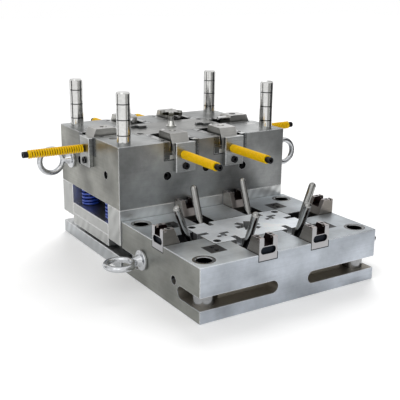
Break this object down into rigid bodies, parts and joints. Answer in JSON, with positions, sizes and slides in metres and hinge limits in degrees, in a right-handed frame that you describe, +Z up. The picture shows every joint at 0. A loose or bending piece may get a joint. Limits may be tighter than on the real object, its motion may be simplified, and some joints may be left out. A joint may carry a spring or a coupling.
{
  "type": "injection mould",
  "caption": "Opened two-plate injection mould of aluminium plates: moving half with sprung side sliders and ejector, fixed half with angle pins and locking blocks.",
  "frame": {"origin": "centre of the moving half's bottom face, on the axis of the ejector rod hole", "axes": "+X along the plates' long side, -Y from the moving half to the fixed half, +Z up"},
  "size_m": [0.848, 0.896, 0.439],
  "materials": {
    "alloy_ground": "surface ground",
    "alloy_pale": "milled",
    "alloy_insert": "surface ground",
    "steel_ground": "ground",
    "steel_polished": "polished",
    "steel_pin": "hardened and polished",
    "steel_tool": "hardened and ground",
    "steel_dark": "black oxide",
    "zinc_bright": "bright zinc plated",
    "spring_yellow": "painted",
    "spring_blue": "painted"
  },
  "bodies": {
    "mould_halves": {"clamp_plate": "alloy_pale", "spacer_front": "alloy_pale", "spacer_back": "alloy_pale", "core_plate": "alloy_ground", "core_insert": "alloy_insert", "centre_post": "steel_polished", "guide_pins": "steel_polished", "gib_rails": "steel_ground", "gib_screws": "steel_dark", "stop_plates": "steel_ground", "stop_plate_screws": "steel_dark", "core_insert_screws": "steel_dark", "support_pillars": "steel_ground", "rest_buttons": "steel_ground", "base_screws": "steel_dark", "moving_eyebolts": "zinc_bright", "return_springs": "spring_blue", "fixed_plate": "alloy_ground", "cavity_insert": "alloy_insert", "cavity_insert_screws": "steel_dark", "guide_bushes": "steel_polished", "angle_pins": "steel_pin", "locking_blocks": "steel_tool", "locking_block_screws": "steel_dark", "landing_pads": "steel_tool", "landing_pad_screws": "steel_dark", "sprue_bush": "steel_ground", "locating_ring": "steel_ground", "locating_ring_screws": "steel_dark", "fixed_eyebolts": "zinc_bright", "slider_spring_front_left": "spring_yellow", "slider_spring_front_right": "spring_yellow", "slider_spring_back_left": "spring_yellow", "slider_spring_back_right": "spring_yellow", "slider_spring_left": "spring_yellow", "slider_spring_right": "spring_yellow"},
    "ejector": {"ejector_base_plate": "alloy_pale", "ejector_retainer_plate": "alloy_pale", "ejector_plate_screws": "steel_dark", "ejector_pins": "steel_polished", "return_pins": "steel_polished"},
    "slide_front_left": {"slider_front_left": "steel_tool", "side_core_front_left": "steel_polished", "stroke_bolt_front_left": "steel_dark"},
    "slide_front_right": {"slider_front_right": "steel_tool", "side_core_front_right": "steel_polished", "stroke_bolt_front_right": "steel_dark"},
    "slide_back_left": {"slider_back_left": "steel_tool", "side_core_back_left": "steel_polished", "stroke_bolt_back_left": "steel_dark"},
    "slide_back_right": {"slider_back_right": "steel_tool", "side_core_back_right": "steel_polished", "stroke_bolt_back_right": "steel_dark"},
    "slide_left": {"slider_left": "steel_tool", "side_core_left": "steel_polished", "stroke_bolt_left": "steel_dark"},
    "slide_right": {"slider_right": "steel_tool", "side_core_right": "steel_polished", "stroke_bolt_right": "steel_dark"}
  },
  "joints": [
    {"name": "ejector_stroke", "type": "slide", "parent": "mould_halves", "child": "ejector", "axis": [0, 0, 1], "range_m": [0, 0.03], "stiffness_N_per_m": 40000, "springref_m": -0.02, "deforming": ["return_springs"]},
    {"name": "slider_travel_front_left", "type": "slide", "parent": "mould_halves", "child": "slide_front_left", "axis": [0, 1, 0], "range_m": [0, 0.038], "stiffness_N_per_m": 5000, "springref_m": -0.02, "deforming": ["slider_spring_front_left"]},
    {"name": "slider_travel_front_right", "type": "slide", "parent": "mould_halves", "child": "slide_front_right", "axis": [0, 1, 0], "range_m": [0, 0.038], "stiffness_N_per_m": 5000, "springref_m": -0.02, "deforming": ["slider_spring_front_right"]},
    {"name": "slider_travel_back_left", "type": "slide", "parent": "mould_halves", "child": "slide_back_left", "axis": [0, -1, 0], "range_m": [0, 0.038], "stiffness_N_per_m": 5000, "springref_m": -0.02, "deforming": ["slider_spring_back_left"]},
    {"name": "slider_travel_back_right", "type": "slide", "parent": "mould_halves", "child": "slide_back_right", "axis": [0, -1, 0], "range_m": [0, 0.038], "stiffness_N_per_m": 5000, "springref_m": -0.02, "deforming": ["slider_spring_back_right"]},
    {"name": "slider_travel_left", "type": "slide", "parent": "mould_halves", "child": "slide_left", "axis": [1, 0, 0], "range_m": [0, 0.038], "stiffness_N_per_m": 5000, "springref_m": -0.02, "deforming": ["slider_spring_left"]},
    {"name": "slider_travel_right", "type": "slide", "parent": "mould_halves", "child": "slide_right", "axis": [-1, 0, 0], "range_m": [0, 0.038], "stiffness_N_per_m": 5000, "springref_m": -0.02, "deforming": ["slider_spring_right"]}
  ]
}
